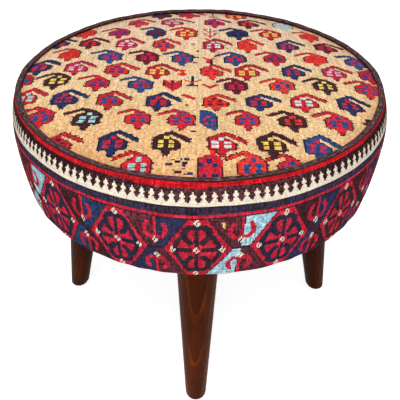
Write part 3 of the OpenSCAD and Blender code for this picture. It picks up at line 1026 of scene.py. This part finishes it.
def weave_yarns(around, s):
    """Which yarn each cell of the side shows, by its way round from the front and down from the seam."""
    v = s * 1000
    pitch = round_mm / repeats
    place = around - np.interp(around, pulled_at, pulled_by)
    number = np.round(place / pitch).astype(int)
    u = place - number * pitch + 0.6 * np.sin(v / 9 + number)
    names = list(kilim)
    yarns = np.zeros(around.shape, int)

    def put(where, yarn):
        yarns[where] = names.index(yarn)

    # Ground of the main band: a warm and a cool cell meet at the line between two hexagons
    gap = np.where(u > 0, number, number - 1) % repeats
    cool = (v < band_mid) == (u < 0)
    for cell, (warm_yarn, cool_yarn) in enumerate(zip(warm_cells, cool_cells)):
        put(~cool & (gap == cell), warm_yarn)
        put(cool & (gap == cell), cool_yarn)
    g = np.where(u > 0, u - pitch / 2, u + pitch / 2)
    mirrored = 2 * band_mid - v
    put((abs(g) < 11) & (abs(v - band_mid) < 1.4), "black")
    for height in (v, mirrored):
        put((abs(g) < 2.8) & span(height, band_top, 64), "black")
        put((abs(g) < 1.7) & span(height, band_top, 66), "red")
        for side in (-1, 1):
            put(near_line(g * side, height, anchor_arm, 5.2), "red")

    # Hexagons: a dark line, a red outline and ground, then the dark bars and hooks
    edge_u = hexagon_end + hexagon_spread * (1 - abs(v - band_mid) / hexagon_half)
    inside = abs(v - band_mid) < hexagon_half + 3
    put(inside & (abs(u) < edge_u + 1.9), "black")
    put(inside & (abs(u) < edge_u), "red")
    bars = (abs(v - band_mid) < 3.2) & span(abs(u), 5.6, 26)
    for height in (v, mirrored):
        bars |= (abs(u) < 2.5) & span(height, 47, 81)
        for side in (-1, 1):
            bars |= near_line(u * side, height, arch, 7.6)
            bars |= near_line(u * side, height, ((27.5, 85), (18.6, 66)), 6.4)
    for i, yarn in enumerate(hexagon_bars):
        put(bars & (number % repeats == i), yarn)
    marked = [(u, 0, band_mid), (u, 28.6, band_mid), (u, -28.6, band_mid), (u, 0, 43.5), (u, 0, 129.5)]
    for across, at_u, at_v in marked + [(g, 0, 73), (g, 0, 99)]:
        ring, stroke = diamond(across, v, at_u, at_v)
        put(ring, "ivory")
        put(stroke, "black")
    flag = span(v, 43.5, 53.5) & (u > 25 + (v - 43.5) * 0.33) & (u < 29.4)
    put(flag & (number == 0), "yellow")
    put(span(v, band_low - 3.5, band_low), "red")
    put(v > band_low, "umber")

    # The border above: plain lines, the toothed ivory and the scarlet band under the seam
    put(v < border_low, "charcoal")
    strips = draws.random((1, columns)) + draws.random(v.shape) * 0.25
    strips += 0.6 * np.repeat(draws.random((1, columns // 34)), 34, 1)
    put(span(v, strips_top, strips_low) & (strips > 0.8), "plum")
    put(span(v, strips_top + 0.5, strips_low - 0.5) & (strips > 1.45), "blue")
    put(span(v, band_top, line_low), "red")
    put(v < teeth_low, "umber")
    brown = np.clip(1.15 - abs(around - 10) / 150, 0.1, 0.92)
    put((v < teeth_low) & (draws.random(v.shape) < brown), "bark")
    steps = np.arange(teeth_count)
    teeth = np.clip(draws.normal(1, 0.045, teeth_count), 0.9, 1.12)
    teeth *= 1 - 0.15 * hump(steps, 122, 17)
    teeth *= round_mm / teeth.sum()
    ends = np.cumsum(teeth)
    way = np.mod(around, round_mm)
    tooth = np.clip(np.searchsorted(ends, way), 0, teeth_count - 1)
    off = abs(way - (ends - teeth / 2)[tooth])
    put((off < np.interp(v, tooth_heights, tooth_widths)) & span(v, tooth_heights[0], teeth_low), "ivory")
    scarlet_end = scarlet_low + 1.3 * hump(around, -32, 36) - 1.5 * ramp(abs(around), 150, 150)
    put(v < scarlet_end, "scarlet")
    return yarns


def weave_colours(yarns):
    """The colour of each cell: its yarn's dye lots in short dashes, and the yarn's unevenness."""
    first, second, share = (np.array([entry[i] for entry in kilim.values()], float) for i in range(3))
    rows = len(yarns)
    dashes = np.repeat(draws.random((rows, columns // 2)), 2, 1)
    dashes += np.repeat(draws.random((rows // 4 + 1, columns)), 4, 0)[:rows]
    lots = dashes < np.sqrt(2 * share[yarns])
    level = np.repeat(draws.normal(0, 0.06, (rows, columns // 16)), 16, 1)
    upright = np.repeat(draws.normal(0, 0.08, (rows // 6 + 1, columns)), 6, 0)[:rows]
    uneven = 1 + draws.normal(0, 0.07, yarns.shape) + level + upright
    pale = yarns == list(kilim).index("ivory")
    uneven[pale] = 1 + (uneven[pale] - 1) * 0.25
    return np.where(lots[..., None], second[yarns], first[yarns]) * uneven[..., None]


# The outer face: pleats gather the hem, and pull shallow dips into the lower edge above them
pleats = 44
pleat_h, dip_d, bump_h = 0.0011, 0.0009, 0.0007
down = outer_s[:, None]
face_r, face_z = (part[:, None] * np.ones(columns) for part in side_inset(outer_s, 0.0))
fold = 0.5 - 0.5 * np.cos(theta * pleats + 1.2 * np.sin(theta * 7) + 0.6 * np.sin(theta * 17))
bumps = np.sin(theta * 3 + 1) * 0.4 + np.sin(theta * 8 + 2) * 0.35 + np.sin(theta * 19) * 0.25
face_z += pleat_h * ramp(down, marks[3] - 0.008, 0.02) * fold
face_r -= dip_d * hump(down, marks[2] + 0.004, 0.016) * fold
face_r += bump_h * bumps * ramp(down, 0, 0.03) * (1 - ramp(down, marks[3] - 0.02, 0.02))

# The stripes wander a little, as the strip was not woven or pulled quite even, and rise in the front middle
wander = 0.0008 * np.sin(theta * 5) + 0.0005 * np.sin(theta * 13 + 1) + 0.0002 * np.sin(theta * 41)
face_z += wander * ramp(down, 0.003, 0.01) * (1 - ramp(down, marks[2] - 0.03, 0.03))
drawn_up = 0.0023 * hump(np.cos(theta) * pattern_r, 0, 0.075) * (np.sin(theta) < 0)
face_z += drawn_up * ramp(down, 0.010, 0.014) * (1 - ramp(down, 0.025, 0.009))

# The drum isn't quite round: its shoulder is flatter at the back left
flat_at, flat_spread = 2.55, 0.6
flatter = 0.0023 * hump(np.mod(theta, 2 * math.pi), flat_at, flat_spread)
face_r -= flatter * (1 - ramp(down, 0.015, 0.045))

# Round the front half the cover's top edge is pulled up against the welt
lip = np.clip(-np.sin(theta), 0, 1) ** 0.8 * hump(down, 0, 0.005)
face_r -= 0.0037 * lip
face_z += 0.0022 * lip

# The inner face is plain
back_r, back_z = (part[:, None] * np.ones(columns) for part in side_inset(inner_s, kilim_t))
grid_r = np.vstack([face_r, back_r])
grid_z = np.vstack([face_z, back_z])
grid_points = np.stack([grid_r * np.cos(theta), grid_r * np.sin(theta), grid_z], -1).reshape(-1, 3)
weave_faces = lathe_faces(len(outer_s) + len(inner_s) + 1, columns) % len(grid_points)
side_kilim = make_mesh("side_kilim", grid_points, weave_faces)

cell_s = (outer_s[:-1] + outer_s[1:]) / 2
angle = np.mod(theta + math.pi / columns + 1.5 * math.pi, 2 * math.pi) - math.pi
cell_s, around = np.meshgrid(cell_s, angle * pattern_r * 1000, indexing="ij")
outer_colours = weave_colours(weave_yarns(around, cell_s)).reshape(-1, 3)
inner_colours = np.full((len(weave_faces) - len(outer_colours), 3), (120, 70, 74))
paint(side_kilim.data, linear(np.vstack([outer_colours, inner_colours])))


def lay_map(obj, name, us, vs, order=1):
    """A flat map for rows of quads that run round: us at the columns' edges and vs at the rows' edges."""
    row, column = np.divmod(np.arange((len(us) - 1) * (len(vs) - 1)), len(us) - 1)
    corner_us = us[np.stack([column, column, column + 1, column + 1], -1)]
    corner_vs = vs[np.stack([row, row + 1, row + 1, row], -1)]
    layer = obj.data.uv_layers.new(name=name)
    layer.data.foreach_set("uv", np.stack([corner_us, corner_vs], -1)[:, ::order].ravel())


# The weave's own map: metres round the drum and metres down from the seam
column_w = 2 * math.pi * pattern_r / columns
lay_map(side_kilim, "weave", np.arange(columns + 1) * column_w, np.r_[outer_s, inner_s, outer_s[0]])


def weave_look():
    look = Finish("flat weave", {"Roughness": 0.92, "Specular IOR Level": 0.02})
    yarn = look.add("ShaderNodeVertexColor", {"layer_name": "dye"}, {})
    spot = look.add("ShaderNodeUVMap", {"uv_map": "weave"}, {})
    fibre = look.streaks(spot, (300, 1300, 1), 3.0, 0.6)
    shade = look.mix(fibre, (0.55, 0.53, 0.55, 1), (1.29, 1.28, 1.28, 1))
    look.wear({"Base Color": look.mix(1.0, yarn, shade, "MULTIPLY")})
    warps = look.split(spot)[0] / column_w
    ribs = abs(warps.maths("FRACT", warps) - 0.5)
    look.bump(fibre - ribs * 0.6, 0.0006)
    return look


dress(side_kilim, weave_look(), "flat_weave", "side_cover")

# Welt
# A narrow strip of dark flat weave, folded lengthwise and laid flat over the seam, with its two ends lapped
# at the back. It is glued and blind-stitched, so no stitch shows. It is narrowest and lowest at the front.
welt_w, front_narrower = 0.0079, 0.0005
welt_h, back_higher = 0.0040, 0.0012
set_in, set_in_back, set_in_front = 0.0006, 0.0009, 0.0032
lap_at = math.radians(80)
stations = 900
section = 22

along = np.linspace(0, 2 * math.pi, stations, endpoint=False)
turn = np.linspace(0, 2 * math.pi, section, endpoint=False)
to_front = np.clip(-np.sin(along), 0, 1) ** 0.8
to_back = np.clip(np.sin(along), 0, 1)
lap = np.exp(-((np.mod(along - lap_at + math.pi, 2 * math.pi) - math.pi) * seam_r / 0.011) ** 4)
half_w = (welt_w - front_narrower * to_front) / 2
half_w *= 1 + 0.03 * np.sin(along * 9) + 0.03 * np.sin(along * 31 + 2)
half_h = (welt_h + back_higher * to_back) / 2
half_h *= (1 + 0.06 * np.sin(along * 14 + 1) + 0.05 * np.sin(along * 47)) * (1 + 0.14 * lap)
drift = 0.0003 * np.sin(along * 6 + 0.5) + 0.0002 * np.sin(along * 21)
drift -= 0.0026 * hump(along, flat_at, flat_spread)
welt_r = seam_r - half_w - set_in - set_in_back * to_back - set_in_front * to_front + drift
square_x = np.sign(np.cos(turn)) * abs(np.cos(turn)) ** 0.75
square_z = np.sign(np.sin(turn)) * abs(np.sin(turn)) ** 0.7
crease = 0.0006 * hump(square_x, 0.35, 0.16) * (square_z > 0)
strip_r = welt_r[:, None] + half_w[:, None] * square_x
strip_z = seam_z + 0.0002 + half_h[:, None] * (1 + square_z) - crease
strip = np.stack([strip_r * np.cos(along)[:, None], strip_r * np.sin(along)[:, None], strip_z], -1)
strip = strip.transpose(1, 0, 2).reshape(-1, 3)
welt_faces = (lathe_faces(section + 1, stations) % len(strip))[:, ::-1]
welt_strip = make_mesh("welt_strip", strip, welt_faces)
round_welt = np.arange(stations + 1) / stations * 2 * math.pi * seam_r
round_section = np.arange(section + 1) / section * 2 * (welt_w + welt_h)
lay_map(welt_strip, "strip", round_welt, round_section, order=-1)


def welt_look():
    look = Finish("dark flat weave", {"Roughness": 0.9, "Specular IOR Level": 0.1})
    spot = look.add("ShaderNodeUVMap", {"uv_map": "strip"}, {})
    streak = look.streaks(spot, (120, 800, 1), 4.0, 0.7)
    patch = look.streaks(spot, (16, 60, 1), 2.0, 0.5)
    tones = [(0.38, dye(26, 17, 19)), (0.5, dye(66, 45, 46))]
    tones += [(0.59, dye(106, 82, 78)), (0.7, dye(184, 160, 150))]
    colour = look.add("ShaderNodeValToRGB", {"stops": tones}, {"Fac": streak})
    worn = look.mix((patch > 0.55) * 0.4, colour, dye(96, 40, 66))
    across = look.split(spot)[1] / (welt_w + welt_h)
    # Painted shadow: a dark line along the strip's inner lower side, where it lies on the rug, and another
    # along its outer edge
    inner_painted_shadow = 1 - across.maths("MINIMUM", abs(across - 1.17) * 4.0, 1.0)
    outer = 1 - across.maths("MINIMUM", abs(across - 0.06) * 6.0, 1.0)
    look.wear({"Base Color": look.mix(inner_painted_shadow.maths("MAXIMUM", inner_painted_shadow, outer), worn, dye(20, 13, 16))})
    ribs = look.streaks(spot, (900, 500, 1), 2.0)
    look.bump(streak + ribs * 0.6, 0.0007)
    return look


dress(welt_strip, welt_look(), "welt_weave", "welt")

# Dust cover
# Black non-woven cloth under the base, its edge folded under, with an opening round each leg plate. Staples
# hold it, a thumb's width apart.
dust_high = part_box("dust_cover")[1]
dust_r = dust_high.x
sheet_t = 0.0004
folded_t = 0.00025
plate_margin = 0.003
opening = (plate_high.y - plate_low.y) / 2 + plate_margin
thread = 0.0045

stops = np.array([-1, 1, -1, 1, -1, 1]) * opening + np.repeat([-plate_c, 0, plate_c], 2)
stops = np.r_[-dust_r, stops, dust_r]
stretches = [np.linspace(a, b, max(2, round((b - a) / thread) + 1)) for a, b in zip(stops, stops[1:])]
dust_lines = np.unique(np.concatenate(stretches).round(7))
openings = [(x - opening, y - opening, x + opening, y + opening)
            for x, y in ((plate_c, 0), (-plate_c, 0), (0, plate_c), (0, -plate_c))]
dust_points, dust_quads, dust_border = clipped_grid(dust_lines, dust_r, openings)
far = np.hypot(*dust_points.T)
ripple = np.sin(dust_points[:, 0] * 60) * np.sin(dust_points[:, 1] * 50)
sag = 0.0004 * np.clip(1 - far / dust_r, 0, 1) * ripple
dust_top = dust_high.z - 0.0001 - folded_t * ramp(far, dust_r - 0.01, 0.01) - abs(sag)
dust_sheet = slab("dust_sheet", dust_points, dust_quads, dust_border, dust_top, dust_top - sheet_t)


def cambric():
    look = Finish("black cambric", {"Roughness": 0.9, "Specular IOR Level": 0.2})
    dimples = look.add("ShaderNodeTexVoronoi", {}, {"Vector": look.place(), "Scale": 700.0}, "Distance")
    lint = look.noise(look.place(), 90.0, 4.0, 0.7)
    look.wear({"Base Color": look.mix(lint, dye(24, 24, 26), dye(48, 47, 48))})
    look.bump(dimples, 0.0003)
    return look


dress(dust_sheet, cambric(), "dust_cloth", "dust_cover")

stapled = Recipe("staples", {
    "Ring": dust_r - 0.0055,
    "Count": 58,
    "Crown": 0.0115,
    "Wire": 0.0012,
    "Thickness": 0.0006,
    "Leg": 0.006,
    "Height": dust_high.z - 0.00062,
    "Seed": 9,
})
wire, thick, leg_l = stapled["Wire"], stapled["Thickness"], stapled["Leg"]
bar = stapled.add("GeometryNodeMeshCube", {}, {"Size": stapled.vector(stapled["Crown"], wire, thick)})
prong = stapled.add("GeometryNodeMeshCube", {}, {"Size": stapled.vector(thick, wire, leg_l)})
reach = (stapled["Crown"] - thick) / 2
staple = stapled.join(
    stapled.move(bar, 0, 0, 0 - thick / 2),
    stapled.move(prong, reach, 0, leg_l / 2 - thick),
    stapled.move(prong, 0 - reach, 0, leg_l / 2 - thick),
)
spots = stapled.add("GeometryNodeMeshCircle", {}, {"Vertices": stapled["Count"], "Radius": stapled["Ring"]})
spot_x, spot_y = stapled.split(stapled.add("GeometryNodeInputPosition"))[:2]
bearing = spot_x.maths("ARCTAN2", spot_y, spot_x)
skewed = {2: -0.16, 3: 0.16, 8: stapled["Seed"]}
skew = stapled.add("FunctionNodeRandomValue", {"data_type": "FLOAT"}, skewed, 1)
turned_to = stapled.vector(0, 0, bearing + math.pi / 2 + skew)
driven_in = {"Points": spots, "Instance": staple, "Rotation": turned_to}
fixed = stapled.add("GeometryNodeInstanceOnPoints", {}, driven_in)
staples = stapled.make(stapled.move(fixed, 0, 0, stapled["Height"]), plate_zinc)
dress(staples, plate_zinc, "zinc_steel")
staples.data.shade_flat()

# Legs
# Four turned, tapered legs of beech, stained reddish brown and lacquered satin, each leaning out from the
# drum. The grain runs along the leg, and its rings show as long loops where the taper cuts them.
glide_low, glide_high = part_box("glide_right")
foot_r = (glide_low.x + glide_high.x) / 2
splay = math.radians(10.3)
ring_w = 0.0064

# Each leg: its way round, how far off the pith of its tree was and how it tilts, and how much darker it is
# painted, partly stain and, on the right and left legs most, painted shade
leg_woods = {
    "front": (-math.pi / 2, 0.0506, 0.0, 0.04),
    "right": (0, 0.05, 0.05, 0.17),
    "back": (math.pi / 2, 0.06, -0.04, 0.08),
    "left": (math.pi, 0.045, 0.07, 0.14),
}


def stained_wood(leg, turn, pith, tilt, stain_and_painted_shade):
    look = Finish("stained beech " + leg, {"Specular IOR Level": 0.03})
    foot = (foot_r * math.cos(turn), foot_r * math.sin(turn), 0)
    spot = look.place(turn=(0, -splay, turn), origin=foot)
    x, y, z = look.split(spot)
    warp = look.streaks(spot, (14, 14, 3), 2.0)
    out = x + pith + z * tilt + warp * 0.012
    radius = (out * out + y * y) ** 0.5
    ring = radius.maths("FRACT", radius / ring_w)
    band = ring ** 4
    fibre = look.streaks(spot, (1500, 1500, 34), 3.0, 0.65)
    cloud = look.streaks(spot, (40, 40, 9), 3.0, 0.5)
    # Painted shade with the stain: each leg's tone is lowered, the right and left legs most
    tone = fibre * 0.55 + cloud * 0.45 + band * fibre * 0.3 - stain_and_painted_shade
    tones = [(0.3, dye(42, 12, 0)), (0.47, dye(66, 23, 1)), (0.6, dye(92, 36, 3)), (0.75, dye(142, 66, 14))]
    look.wear({"Base Color": look.add("ShaderNodeValToRGB", {"stops": tones}, {"Fac": tone})})
    look.wear({"Roughness": 0.42 + fibre * 0.12})
    look.bump(fibre + band * 0.3, 0.00012)
    return look


for leg, wood in leg_woods.items():
    give("leg_" + leg, stained_wood(leg, *wood))

# Glides
# Nail-on glides of black nylon, one hammered into the end grain of each foot. They keep the legs off the
# floor, and hardly show under them.
blacks = (dye(26, 25, 25), dye(52, 50, 48))
nylon = mottled("black nylon", {"Specular IOR Level": 0.5}, (500.0, 4.0, 0.7), blacks, 0.0001, 0.4)
for leg in legs:
    give("glide_" + leg, nylon)
